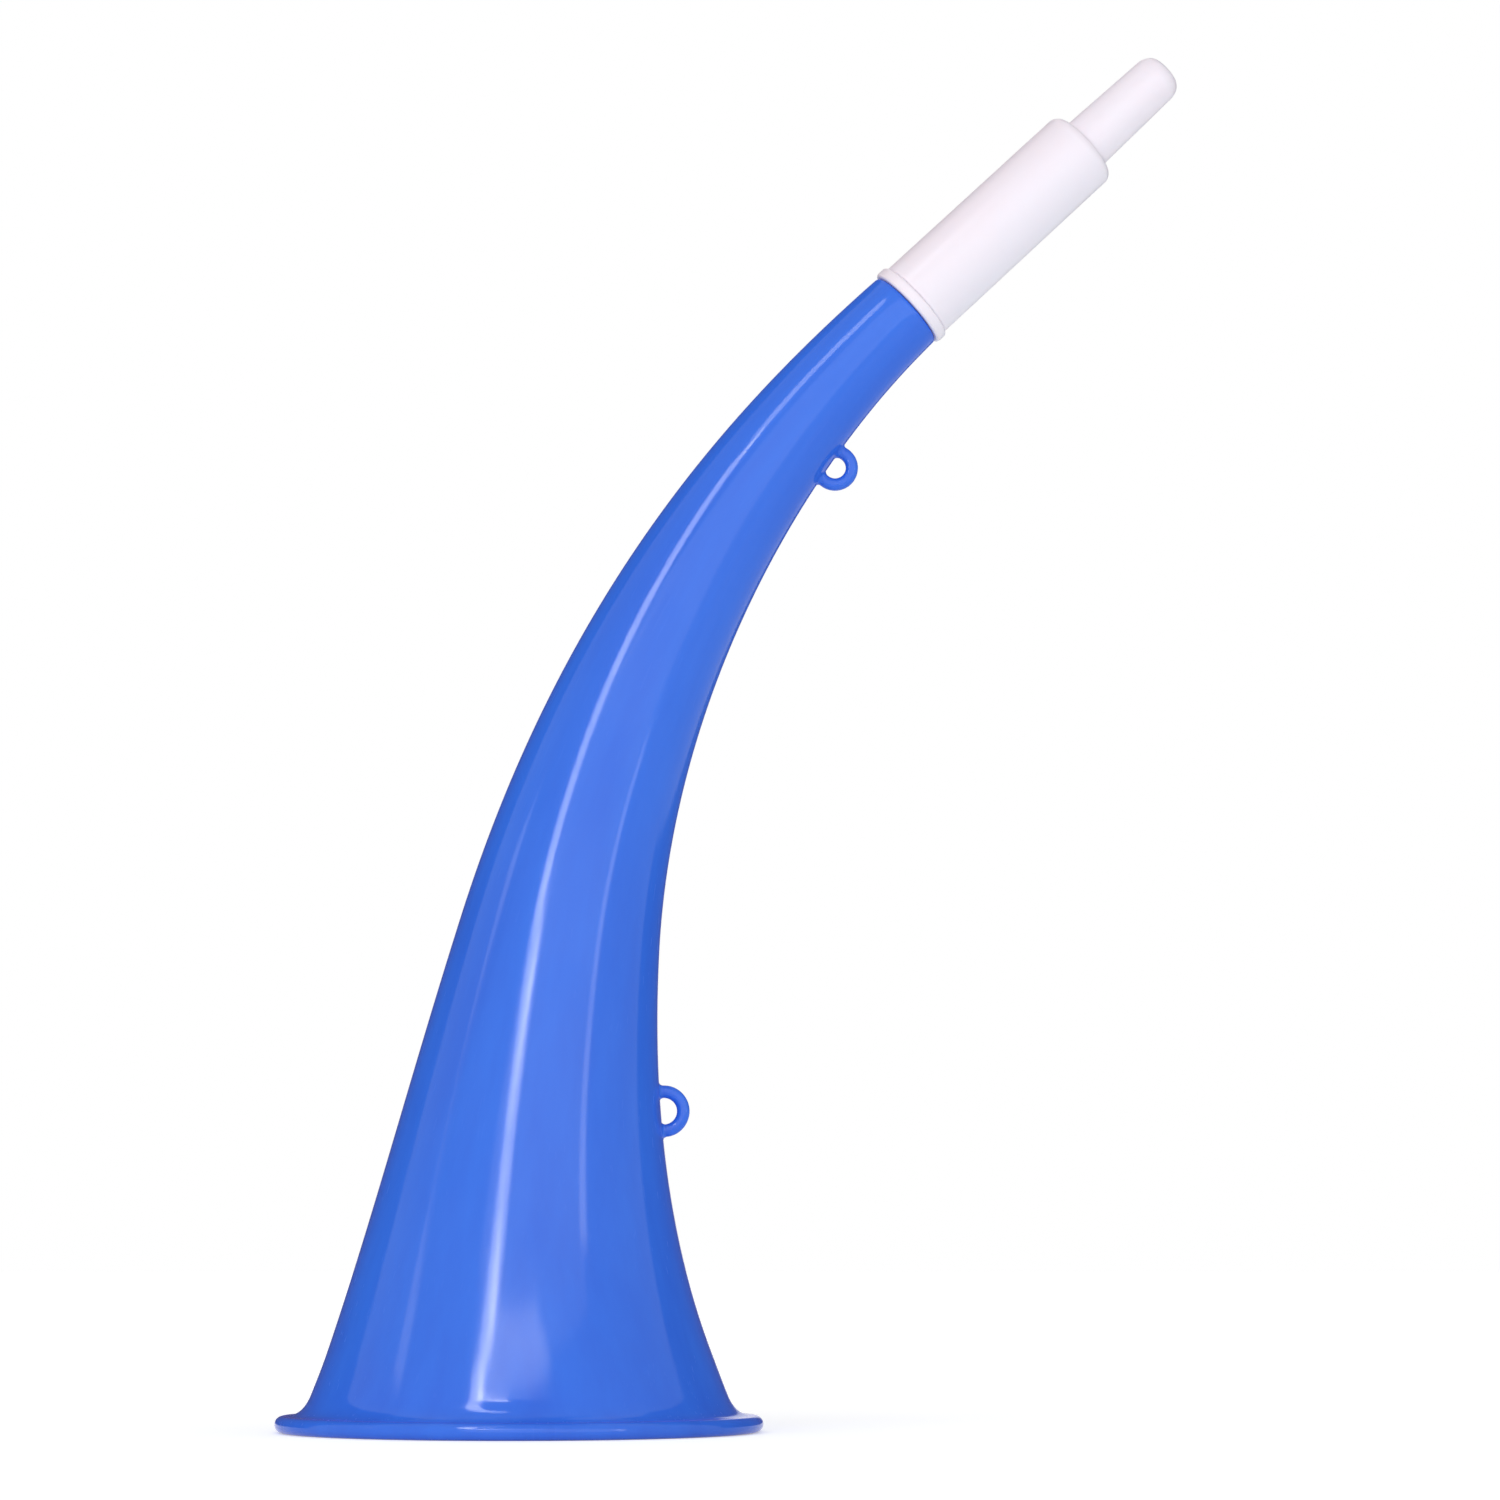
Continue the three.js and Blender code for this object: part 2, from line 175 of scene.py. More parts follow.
def turnedPiece(name, outline, sides):
    piece = drawOutline(name, outline)
    bpy.ops.mesh.select_all(action="SELECT")
    bpy.ops.mesh.spin(steps=sides, angle=2 * math.pi, center=(0, 0, 0), axis=(0, 0, 1))
    bpy.ops.mesh.select_all(action="SELECT")
    bpy.ops.mesh.remove_doubles(threshold=weld * mm)
    closeEdit()
    return piece


# The centreline's place and turn at a distance from the mouth, in mm and radians
def centreline(distance):
    easeRun = min(max(distance - horn["bellLeg"], 0), horn["easeLength"])
    bendRun = max(distance - horn["bellLeg"] - horn["easeLength"], 0)
    easeTurn = easeRun / horn["easeRadius"]
    turn = easeTurn + bendRun / horn["bendRadius"]
    easeX = horn["easeRadius"] * (1 - math.cos(easeTurn))
    easeZ = min(distance, horn["bellLeg"]) + horn["easeRadius"] * math.sin(easeTurn)
    x = bellX + easeX + horn["bendRadius"] * (math.cos(easeTurn) - math.cos(turn))
    z = easeZ + horn["bendRadius"] * (math.sin(turn) - math.sin(easeTurn))
    return x, z, turn


# The radius of the horn's outside at a distance from the mouth
def hornRadius(distance):
    left = 1 - distance / hornLength
    flare = horn["flareRise"] * left ** horn["flarePower"]
    mouth = horn["mouthRise"] * math.exp(-distance / horn["mouthReach"])
    swell = horn["throatSwell"] * (1 - math.exp((distance - hornLength) / horn["throatReach"]))
    return horn["throatRadius"] + horn["taperRise"] * left + flare + mouth - swell


# How fast that radius changes, measured over a short reach in mm
def hornSlope(distance, reach=0.1):
    return (hornRadius(distance + reach) - hornRadius(distance - reach)) / (2 * reach)


hornLow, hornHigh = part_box("horn_body")
lipRadius = hornHigh.y / mm - inset
bellX = hornLow.x / mm + hornHigh.y / mm
throatX, throatZ, throatTurn = centreline(hornLength)
# The mouthpiece axis starts here, at the throat's end
throatLean = Matrix.Rotation(throatTurn, 4, "Y")
throatPlace = Matrix.Translation((throatX * mm, 0, throatZ * mm)) @ throatLean

print("camera")
cameraData = bpy.data.cameras.new("photoCamera")
cameraData.lens = view["lens"]
cameraData.sensor_width = view["sensor"]
camera = bpy.data.objects.new("photoCamera", cameraData)
camera.location = view["location"]
camera.rotation_euler = (math.radians(90 + view["upTilt"]), 0, 0)
bpy.context.collection.objects.link(camera)
bpy.context.scene.camera = camera

print("horn shell")


# The wall's section: out round the lip, up the outside, into the socket and down the inside
def hornOutline():
    rings = range(1, horn["rings"] + 1)
    shares = [(ring / horn["rings"]) ** horn["ringCrowding"] for ring in rings]
    blendTop = lip["height"] + lip["blend"]
    wallTop = hornLength - horn["throatRound"]
    socketFoot = hornLength - socket["depth"]
    boreTop = socketFoot - socket["step"]
    boreFoot = hornRadius(0) - horn["wall"] + lip["innerRound"]
    edge = lipRadius - lip["round"]
    corner = hornRadius(blendTop) - hornSlope(blendTop) * lip["blend"]
    inner = lip["innerRound"]
    outline = arc((boreFoot, inner), inner, 180, 270, lip["innerSteps"])
    outline += arc((edge, lip["round"]), lip["round"], -90, 0, lip["arcSteps"])
    outline += arc((edge, lip["height"] - lip["round"]), lip["round"], 0, 90, lip["arcSteps"])
    ledgeEnd = (lipRadius - lip["ledge"], lip["height"])
    wallFoot = (hornRadius(blendTop), blendTop)
    outline += sweep(ledgeEnd, (corner, lip["height"]), wallFoot, lip["sweepSteps"])
    for share in shares[:-1]:
        distance = blendTop + (wallTop - blendTop) * share
        outline.append((hornRadius(distance), distance))
    rim = (horn["throatRadius"] - horn["throatRound"], wallTop)
    outline += arc(rim, horn["throatRound"], 0, 90, horn["throatSteps"])
    outline.append((socket["radius"] + socket["edge"], hornLength))
    outline.append((socket["radius"], hornLength - socket["edge"]))
    outline.append((socket["radius"], socketFoot))
    for share in reversed(shares):
        distance = inner + (boreTop - inner) * share
        outline.append((hornRadius(distance) - horn["wall"], distance))
    outline.append(outline[0])
    return outline


# Keeps where each point was before the bend, for patterns that follow the horn
def keepStraight(piece):
    straight = piece.data.attributes.new("straight", "FLOAT_VECTOR", "POINT")
    for vertex, value in zip(piece.data.vertices, straight.data):
        value.vector = vertex.co


# The bend as a curve of one straight run and two arcs
def drawBend():
    deselectAll()
    bpy.ops.curve.primitive_bezier_curve_add()
    bend = bpy.context.object
    bend.data.dimensions = "3D"
    bend.data.twist_mode = "MINIMUM"
    bend.data.resolution_u = horn["bendSteps"]
    spline = bend.data.splines[0]
    spline.bezier_points.add(2)
    stations = [0, horn["bellLeg"], horn["bellLeg"] + horn["easeLength"], hornLength]
    radii = [None, horn["easeRadius"], horn["bendRadius"]]
    handles = []
    for start, end, radius in zip(stations, stations[1:], radii):
        angle = (end - start) / radius if radius else 0
        handles.append(4 / 3 * math.tan(angle / 4) * radius if radius else (end - start) / 3)
    for point, station, before, after in zip(
        spline.bezier_points, stations, handles[:1] + handles, handles + handles[-1:]
    ):
        x, z, turn = centreline(station)
        place = Vector((x, 0, z)) * mm
        ahead = Vector((math.sin(turn), 0, math.cos(turn))) * mm
        point.handle_left_type = point.handle_right_type = "FREE"
        point.co = place
        point.handle_left = place - ahead * before
        point.handle_right = place + ahead * after
        point.tilt = math.pi
    return bend


# Where the socket's points belong, because the socket stays straight in the bent throat
def socketPlaces(piece):
    foot = hornLength - socket["depth"] - socket["slack"]
    place = throatPlace @ Matrix.Translation((0, 0, -hornLength * mm))
    places = []
    for vertex in piece.data.vertices:
        radius = math.hypot(vertex.co.x, vertex.co.y) / mm
        if radius < socket["radius"] + socket["slack"] and vertex.co.z / mm > foot:
            places.append((vertex.index, place @ vertex.co))
    return places


hornShell = turnedPiece("hornShell", hornOutline(), horn["sides"])
socketPoints = socketPlaces(hornShell)
keepStraight(hornShell)
bendCurve = drawBend()
applyModifier(hornShell, "CURVE", object=bendCurve, deform_axis="POS_Z")
bpy.data.objects.remove(bendCurve)
for index, place in socketPoints:
    hornShell.data.vertices[index].co = place
smooth(hornShell)

print("eyelets")
eyelets = [
    {"distance": 67, "radius": 5.2, "holeRadius": 2.65, "standoff": 0.6},  # mm from the mouth
    {"distance": hornLength - 35.4, "radius": 4.7, "holeRadius": 2.2, "standoff": 1.2},
]
ring = {
    "thickness": 2.6,
    "round": 1.05,
    "foot": 0.8,  # fillet onto the wall
    "holeFoot": 0.5,  # share of the fillet inside the hole
    "sink": 0.6,  # how deep the foot goes into the wall
    "ringSteps": 36,
    "footSteps": 10,
    "arcSteps": 6,
}


def ringSection(eyelet):
    middle = (eyelet["radius"] + eyelet["holeRadius"]) / 2
    halfWide = (eyelet["radius"] - eyelet["holeRadius"]) / 2 - ring["round"]
    halfThick = ring["thickness"] / 2 - ring["round"]
    outline = []
    for corner, (side, face) in enumerate(((1, 1), (-1, 1), (-1, -1), (1, -1))):
        place = (middle + side * halfWide, face * halfThick)
        outline += arc(place, ring["round"], 90 * corner, 90 * corner + 90, ring["arcSteps"])
    outline.append(outline[0])
    return outline


# The wall's point on the inner side of the bend and the lean of its surface there
def wallPoint(distance):
    x, z, turn = centreline(distance)
    radius = hornRadius(distance)
    place = Vector((x + radius * math.cos(turn), 0, z - radius * math.sin(turn)))
    return place, turn + math.atan(hornSlope(distance))


# How far the wall falls away from its tangent plane, along the horn and sideways
def wallDrop(distance, along, sideways):
    foot, lean = wallPoint(distance)
    there = wallPoint(distance + along)[0]
    outwards = Vector((math.cos(lean), 0, -math.sin(lean)))
    return (foot - there).dot(outwards) + sideways**2 / (2 * hornRadius(distance))


# A ring on the horn's wall, whose foot sweeps out onto it
def makeEyelet(name, eyelet):
    loops = ring["ringSteps"] + ring["footSteps"] + 1
    turnStep = math.pi / (loops + 1)
    piece = drawOutline(name, ringSection(eyelet))
    bpy.ops.mesh.select_all(action="SELECT")
    bpy.ops.transform.rotate(value=-turnStep * loops, orient_axis="Z", center_override=(0, 0, 0))
    bpy.ops.mesh.spin(steps=2 * loops, angle=2 * turnStep * loops, center=(0, 0, 0), axis=(0, 0, 1))
    bpy.ops.mesh.select_all(action="SELECT")
    bpy.ops.mesh.remove_doubles(threshold=weld * mm)
    bpy.ops.mesh.select_all(action="DESELECT")
    bpy.ops.mesh.select_non_manifold()
    bpy.ops.mesh.edge_face_add()
    closeEdit()

    distance, standoff = eyelet["distance"], eyelet["standoff"]
    middle = (eyelet["radius"] + eyelet["holeRadius"]) / 2
    foot = ring["foot"]
    for vertex in piece.data.vertices:
        radius = math.hypot(vertex.co.x, vertex.co.y) / mm
        thick = vertex.co.z / mm
        side = math.copysign(1, vertex.co.y)
        loop = round(abs(math.atan2(vertex.co.y, vertex.co.x)) / turnStep)
        step = loop - ring["ringSteps"]
        out = Vector((radius - middle, thick)).normalized()  # from the middle of the section
        spread = 0  # how far the foot's fillet has run out
        if step <= 0:
            share = loop / ring["ringSteps"]
            turn = share * math.acos((foot - standoff) / radius)
            height = standoff + radius * math.cos(turn)
            bedded = share**2
        else:
            lean = min(step / ring["footSteps"], 1) * math.pi / 2
            height = foot * (1 - math.sin(lean)) if step <= ring["footSteps"] else -ring["sink"]
            turn = math.acos((height - standoff) / radius)
            spread = foot * (1 - math.cos(lean))
            bedded = 1
        reach = spread * out.x * (1 if out.x > 0 else ring["holeFoot"])
        along = side * (radius * math.sin(turn) + reach)
        thick += spread * out.y
        height -= bedded * wallDrop(distance, along, thick)
        vertex.co = Vector((height, along, thick)) * mm

    wall, lean = wallPoint(distance)
    place = Matrix((
        (math.cos(lean), math.sin(lean), 0, wall.x * mm),
        (0, 0, -1, 0),
        (-math.sin(lean), math.cos(lean), 0, wall.z * mm),
        (0, 0, 0, 1),
    ))
    piece.data.transform(place)
    keepStraight(piece)
    smooth(piece)
    return piece


rings = [makeEyelet("eyeletRing", eyelet) for eyelet in eyelets]
pick(hornShell)
for piece in rings:
    piece.select_set(True)
bpy.ops.object.join()
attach(hornShell, "horn")
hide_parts("horn_body")

print("reed block")
block = {
    "flangeFoot": 0.06,  # heights along the mouthpiece axis from the throat's end
    "flangeHeight": 2.44,
    "flangeRadius": 9.3,
    "flangeRound": 0.6,
    "flangeSteps": 8,
    "lowerRadius": 6.8,
    "lowerLength": 14,
    "lowerTaper": 0.3,
    "outletRadius": 5,
    "upperRadius": 6.9,
    "upperLength": 10,
    "clampRadius": 5.2,
    "ledgeRadius": 3.8,
    "ledgeHeight": 1.5,
    "edge": 0.6,
    "edgeSteps": 6,
    "sides": 128,
}
blockTop = block["flangeFoot"] + block["flangeHeight"] + block["upperLength"]


def blockOutline():
    flangeFoot = block["flangeFoot"]
    flangeTop = flangeFoot + block["flangeHeight"]
    corner, cornerSteps = block["flangeRound"], block["flangeSteps"]
    edge, edgeSteps = block["edge"], block["edgeSteps"]
    cornerRadius = block["flangeRadius"] - corner
    lowEnd = block["lowerRadius"] - block["lowerTaper"]
    outline = [(block["outletRadius"], -block["lowerLength"])]
    outline += arc((lowEnd - edge, edge - block["lowerLength"]), edge, -90, 0, edgeSteps)
    outline.append((block["lowerRadius"], flangeFoot))
    outline += arc((cornerRadius, flangeFoot + corner), corner, -90, 0, cornerSteps)
    outline += arc((cornerRadius, flangeTop - corner), corner, 0, 90, cornerSteps)
    outline.append((block["upperRadius"], flangeTop))
    outline += arc((block["upperRadius"] - edge, blockTop - edge), edge, 0, 90, edgeSteps)
    outline.append((block["clampRadius"], blockTop))
    outline.append((block["clampRadius"], block["ledgeHeight"]))
    outline.append((block["ledgeRadius"], block["ledgeHeight"]))
    outline.append((block["ledgeRadius"], 0))
    outline.append((block["outletRadius"], 0))
    outline.append(outline[0])
    return outline


# Puts a piece drawn on the mouthpiece axis in its place, for the node that it stands for
def seat(piece, node, body):
    piece.data.transform(throatPlace)
    smooth(piece)
    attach(piece, body)
    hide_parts(node)


reedBlock = turnedPiece("reedPlug", blockOutline(), block["sides"])
seat(reedBlock, "reed_block", "plug")

print("barrel")
barrel = {
    "foot": 2.52,
    "footRadius": 8.65,
    "footRound": 0.4,
    "footSteps": 6,
    "topRadius": 8.5,
    "boreRadius": 7.2,
    "boreEdge": 0.2,
    "shoulder": 50.4,
    "shoulderRound": 2,
    "shoulderSteps": 14,
    "chamberTop": 48,
    "tubeFootRadius": 5.55,
    "tubeFillet": 1.4,
    "filletSteps": 10,
    "tubeTipRadius": 5.1,
    "tubeBoreRadius": 2.4,
    "tubeTip": 73.6,
    "tipRound": 2.5,
    "tipRise": 3.4,  # length of the tip's rounding
    "tipSteps": 16,
    "tipEdge": (0.1, 0.15),  # across and along the bore
    "sides": 128,
}


def barrelOutline():
    foot, tip, shoulder = barrel["foot"], barrel["tubeTip"] - inset, barrel["shoulder"]
    footRound, footSteps = barrel["footRound"], barrel["footSteps"]
    corner, cornerSteps = barrel["shoulderRound"], barrel["shoulderSteps"]
    topMiddle = barrel["topRadius"] - corner
    tubeFoot = barrel["tubeFootRadius"]
    filletTop = shoulder + barrel["tubeFillet"]
    bore, tubeBore = barrel["boreRadius"], barrel["tubeBoreRadius"]
    tipAcross, tipAlong = barrel["tipEdge"]
    outline = [(bore + barrel["boreEdge"], foot)]
    footMiddle = (barrel["footRadius"] - footRound, foot + footRound)
    outline += arc(footMiddle, footRound, -90, 0, footSteps)
    outline += arc((topMiddle, shoulder - corner), corner, 0, 90, cornerSteps)
    fillet = sweep(
        (topMiddle, shoulder), (tubeFoot, shoulder), (tubeFoot, filletTop), barrel["filletSteps"]
    )
    outline += fillet[1:]
    stretch = barrel["tipRise"] / barrel["tipRound"]
    tipMiddle = barrel["tubeTipRadius"] - barrel["tipRound"] - inset
    for across, up in arc((0, 0), barrel["tipRound"], 0, 90, barrel["tipSteps"]):
        outline.append((tipMiddle + across, tip - barrel["tipRise"] + up * stretch))
    outline.append((tubeBore + tipAcross, tip))
    outline.append((tubeBore, tip - tipAlong))
    outline.append((tubeBore, shoulder))
    outline.append((bore, barrel["chamberTop"]))
    outline.append((bore, foot + barrel["boreEdge"]))
    outline.append(outline[0])
    return outline


mouthBarrel = turnedPiece("mouthBarrel", barrelOutline(), barrel["sides"])
seat(mouthBarrel, "mouthpiece_barrel", "barrel")

print("shallot, reed and wedge")
shallot = {
    "foot": 1.8,
    "top": 41.8,
    "radius": 4.9,
    "flat": 1.2,
    "wall": 1.2,
    "tip": 2.5,
    "round": 0.5,
    "roundSteps": 5,
    "slotFoot": 14.5,
    "slotTop": 32.5,
    "slotWidth": 4.6,
    "slotRound": 0.4,  # of a 1 mm cube, stretched with it, so the slot's ends taper
    "slotSteps": 4,
    "slotReach": 0.3,  # how far the cut goes into the trough
    "overrun": 1,  # how far the trough's cut goes past the foot
    "sliver": 0.01,  # what the cuts leave narrower than this is merged
    "sides": 96,
}
reed = {
    "root": 6.5,
    "tip": 35,
    "inside": 1.5,
    "thickness": 0.35,
    "lift": 0.6,
    "liftPower": 1.6,  # how the curve grows from the clamp to the tip
    "width": 7.4,
    "tipRadius": 2,
    "edge": 0.08,
    "across": 16,
    "rows": 72,
}
wedge = {
    "foot": 6.5,
    "headFoot": 12.56,
    "headTop": 14.2,
    "radius": 4.9,
    "headRadius": 6.3,
    "inside": 2.15,
    "taper": 0.25,
    "round": 0.25,
    "roundSteps": 4,
    "edge": 0.12,
}


# Cuts a piece flat; the side that the arrow points to is taken away
def cutFlat(piece, place, arrow):
    pick(piece)
    bpy.ops.object.mode_set(mode="EDIT")
    bpy.ops.mesh.select_all(action="SELECT")
    place = Vector(place) * mm
    bpy.ops.mesh.bisect(plane_co=place, plane_no=arrow, use_fill=True, clear_outer=True)
    closeEdit()


# A closed rod with a rounded top edge and a flat on its -X side
def flattedRod(name, radius, flat, foot, top):
    corner = shallot["round"]
    outline = [(0, foot), (radius, foot)]
    outline += arc((radius - corner, top - corner), corner, 0, 90, shallot["roundSteps"])
    outline.append((0, top))
    rod = turnedPiece(name, outline, shallot["sides"])
    cutFlat(rod, (-flat, 0, 0), (-1, 0, 0))
    return rod


def carve(piece, tool):
    applyModifier(piece, "BOOLEAN", object=tool, operation="DIFFERENCE", solver="EXACT")
    bpy.data.objects.remove(tool)


def makeShallot():
    foot, top, flat = shallot["foot"], shallot["top"], shallot["flat"]
    slotFoot, slotTop = shallot["slotFoot"], shallot["slotTop"]
    piece = flattedRod("shallotTrough", shallot["radius"], flat, foot, top)
    inner = shallot["radius"] - shallot["wall"]
    trough = flattedRod("troughTool", inner, 0, foot - shallot["overrun"], top - shallot["tip"])
    carve(piece, trough)
    deselectAll()
    slotMiddle = (slotFoot + slotTop) / 2
    bpy.ops.mesh.primitive_cube_add(size=mm, location=(-flat * mm, 0, slotMiddle * mm))
    slotTool = bpy.context.object
    slotTool.scale = (2 * (flat + shallot["slotReach"]), shallot["slotWidth"], slotTop - slotFoot)
    applyModifier(slotTool, "BEVEL", width=shallot["slotRound"] * mm, segments=shallot["slotSteps"])
    carve(piece, slotTool)
    pick(piece)
    bpy.ops.object.mode_set(mode="EDIT")
    bpy.ops.mesh.select_all(action="SELECT")
    bpy.ops.mesh.remove_doubles(threshold=shallot["sliver"] * mm)
    bpy.ops.object.mode_set(mode="OBJECT")
    return piece


# A thin strip with a round tip that curves away from the shallot above the clamp
def makeReed():
    deselectAll()
    bpy.ops.mesh.primitive_grid_add(
        x_subdivisions=reed["across"], y_subdivisions=reed["rows"], size=1
    )
    strip = bpy.context.object
    strip.name = "reedStrip"
    half = reed["width"] / 2
    for vertex in strip.data.vertices:
        across, up = 2 * vertex.co.x, vertex.co.y + 0.5
        height = reed["root"] + (reed["tip"] - reed["root"]) * up
        past = max(0, height - (reed["tip"] - reed["tipRadius"]))
        wide = half - reed["tipRadius"] + math.sqrt(max(0, reed["tipRadius"] ** 2 - past**2))
        free = max(0, height - blockTop) / (reed["tip"] - blockTop)
        lift = reed["lift"] * free ** reed["liftPower"]
        vertex.co = Vector((-reed["inside"] - lift, across * wide, height)) * mm
    applyModifier(strip, "SOLIDIFY", thickness=reed["thickness"] * mm, offset=-1)
    breakEdges(strip, reed["edge"])
    return strip


def makeWedge():
    foot, headFoot, headTop = wedge["foot"], wedge["headFoot"], wedge["headTop"]
    radius, headRadius, corner = wedge["radius"], wedge["headRadius"], wedge["round"]
    outline = [(0, foot), (radius, foot), (radius, headFoot), (headRadius, headFoot)]
    outline += arc((headRadius - corner, headTop - corner), corner, 0, 90, wedge["roundSteps"])
    outline.append((0, headTop))
    piece = turnedPiece("reedWedge", outline, shallot["sides"])
    arrow = Vector((headTop - foot, 0, -wedge["taper"])).normalized()
    cutFlat(piece, (-wedge["inside"], 0, headTop), arrow)
    breakEdges(piece, wedge["edge"])
    return piece


shallotTrough = makeShallot()
seat(shallotTrough, "shallot", "plug")
reedStrip = makeReed()
seat(reedStrip, "reed_tongue", "reed")
reedWedge = makeWedge()
seat(reedWedge, "reed_wedge", "plug")

print("materials")


def addNode(tree, kind, **settings):
    node = tree.nodes.new(kind if kind.startswith("NodeGroup") else "ShaderNode" + kind)
    for name, value in settings.items():
        setattr(node, name, value)
    return node


# Sets a socket to a value or links it to another node's socket
def feed(tree, socket, value):
    if isinstance(value, bpy.types.NodeSocket):
        tree.links.new(value, socket)
    else:
        socket.default_value = value


def noise(tree, place, scale, detail=2, roughness=0.5):
    node = addNode(tree, "TexNoise")
    feed(tree, node.inputs["Vector"], place)
    feed(tree, node.inputs["Scale"], scale)
    feed(tree, node.inputs["Detail"], detail)
    feed(tree, node.inputs["Roughness"], roughness)
    return node.outputs["Fac"]


def stretched(tree, place, scale, turn=(0, 0, 0)):
    node = addNode(tree, "Mapping")
    feed(tree, node.inputs["Vector"], place)
    feed(tree, node.inputs["Scale"], scale)
    feed(tree, node.inputs["Rotation"], turn)
    return node.outputs["Vector"]


def remap(tree, value, low, high, toLow=0, toHigh=1):
    node = addNode(tree, "MapRange", clamp=True)
    for socket, setting in zip(node.inputs, (value, low, high, toLow, toHigh)):
        feed(tree, socket, setting)
    return node.outputs["Result"]


def maths(tree, operation, *values):
    node = addNode(tree, "Math", operation=operation)
    for socket, value in zip(node.inputs, values):
        feed(tree, socket, value)
    return node.outputs["Value"]


# The Mix node's colour sockets are told by number, as its names repeat
def blendColours(tree, factor, low, high):
    node = addNode(tree, "Mix", data_type="RGBA")
    feed(tree, node.inputs[0], factor)
    feed(tree, node.inputs[6], low)
    feed(tree, node.inputs[7], high)
    return node.outputs[2]


def newGroup(name, takes, gives):
    group = bpy.data.node_groups.new(name, "ShaderNodeTree")
    for label, kind, value in takes:
        socket = group.interface.new_socket(name=label, in_out="INPUT", socket_type=kind)
        if value is not None:
            socket.default_value = value
    for label, kind in gives:
        group.interface.new_socket(name=label, in_out="OUTPUT", socket_type=kind)
    return group, addNode(group, "NodeGroupInput"), addNode(group, "NodeGroupOutput")


skinMarks = {
    "swellAlong": 0.35,  # swells and pigment flow are drawn out along the piece
    "flowAlong": 0.12,
    "scratches": (((0.4, 0.9, 0.2), 7), ((1.9, 0.3, 1.1), 9), ((0.8, 2.2, 2.6), 6)),  # turn, length
    "scratchScale": 1500,
    "scratchStretch": 6,
    "scratchEdge": (0.765, 0.79),
    "patchScale": 40,
    "patchEdge": (0.52, 0.6),
    "smudgeScale": 38,
    "smudgeEdge": (0.5, 0.72),
}


# Slow swells, fine orange peel, pigment flow and handling marks of a moulded plastic skin
def makeMouldedSkin():
    group, given, result = newGroup(
        "mouldedSkin",
        [
            ("Place", "NodeSocketVector", None),
            ("Swell Scale", "NodeSocketFloat", 60),
            ("Swell Height", "NodeSocketFloat", 0.00003),
            ("Peel Scale", "NodeSocketFloat", 900),
            ("Peel Height", "NodeSocketFloat", 0.0000002),
            ("Flow Scale", "NodeSocketFloat", 90),
            ("Scratch Depth", "NodeSocketFloat", 0.0000008),
        ],
        [
            ("Height", "NodeSocketFloat"),
            ("Flow", "NodeSocketFloat"),
            ("Scratches", "NodeSocketFloat"),
            ("Smudges", "NodeSocketFloat"),
        ],
    )
    place = given.outputs["Place"]
    swellPlace = stretched(group, place, (1, 1, skinMarks["swellAlong"]))
    swell = noise(group, swellPlace, given.outputs["Swell Scale"], 1.5, 0.45)
    peel = noise(group, place, given.outputs["Peel Scale"], 1, 0.5)
    flowPlace = stretched(group, place, (1, 1, skinMarks["flowAlong"]))
    flow = noise(group, flowPlace, given.outputs["Flow Scale"], 4, 0.6)
    scratches = None
    for turn, run in skinMarks["scratches"]:
        lengthened = (1, 1, 1 / (skinMarks["scratchStretch"] * run))
        linePlace = stretched(group, place, lengthened, turn)
        lines = noise(group, linePlace, skinMarks["scratchScale"], 0)
        patchPlace = stretched(group, place, (1, 1, 1), turn)
        patches = noise(group, patchPlace, skinMarks["patchScale"] + run, 1)
        lines = remap(group, lines, *skinMarks["scratchEdge"])
        patches = remap(group, patches, *skinMarks["patchEdge"])
        fine = maths(group, "MULTIPLY", lines, patches)
        scratches = fine if scratches is None else maths(group, "MAXIMUM", scratches, fine)
    smudges = noise(group, place, skinMarks["smudgeScale"], 5, 0.62)
    smudges = remap(group, smudges, *skinMarks["smudgeEdge"])
    height = maths(group, "MULTIPLY", swell, given.outputs["Swell Height"])
    height = maths(group, "MULTIPLY_ADD", peel, given.outputs["Peel Height"], height)
    sunk = maths(group, "MULTIPLY", scratches, given.outputs["Scratch Depth"])
    feed(group, result.inputs["Height"], maths(group, "SUBTRACT", height, sunk))
    feed(group, result.inputs["Flow"], flow)
    feed(group, result.inputs["Scratches"], scratches)
    feed(group, result.inputs["Smudges"], smudges)
    return group


seamLine = {
    "width": 0.0003,
    "rise": 0.00004,
    "wanderScale": 220,
    "wander": 0.0001,  # to each side
}


# A raised line where the mould's halves met, on the plane across Y
def makePartingLine():
    group, given, result = newGroup(
        "partingLine",
        [
            ("Width", "NodeSocketFloat", seamLine["width"]),
            ("Rise", "NodeSocketFloat", seamLine["rise"]),
        ],
        [("Height", "NodeSocketFloat"), ("Mask", "NodeSocketFloat")],
    )
    place = addNode(group, "TexCoord").outputs["Object"]
    split = addNode(group, "SeparateXYZ")
    feed(group, split.inputs[0], place)
    wander = noise(group, place, seamLine["wanderScale"])
    drift = maths(group, "MULTIPLY_ADD", wander, 2 * seamLine["wander"], -seamLine["wander"])
    aside = maths(group, "ABSOLUTE", maths(group, "ADD", split.outputs["Y"], drift))
    mask = remap(group, aside, given.outputs["Width"], 0)
    feed(group, result.inputs["Mask"], mask)
    feed(group, result.inputs["Height"], maths(group, "MULTIPLY", mask, given.outputs["Rise"]))
    return group


mouldedSkin = makeMouldedSkin()
partingLine = makePartingLine()


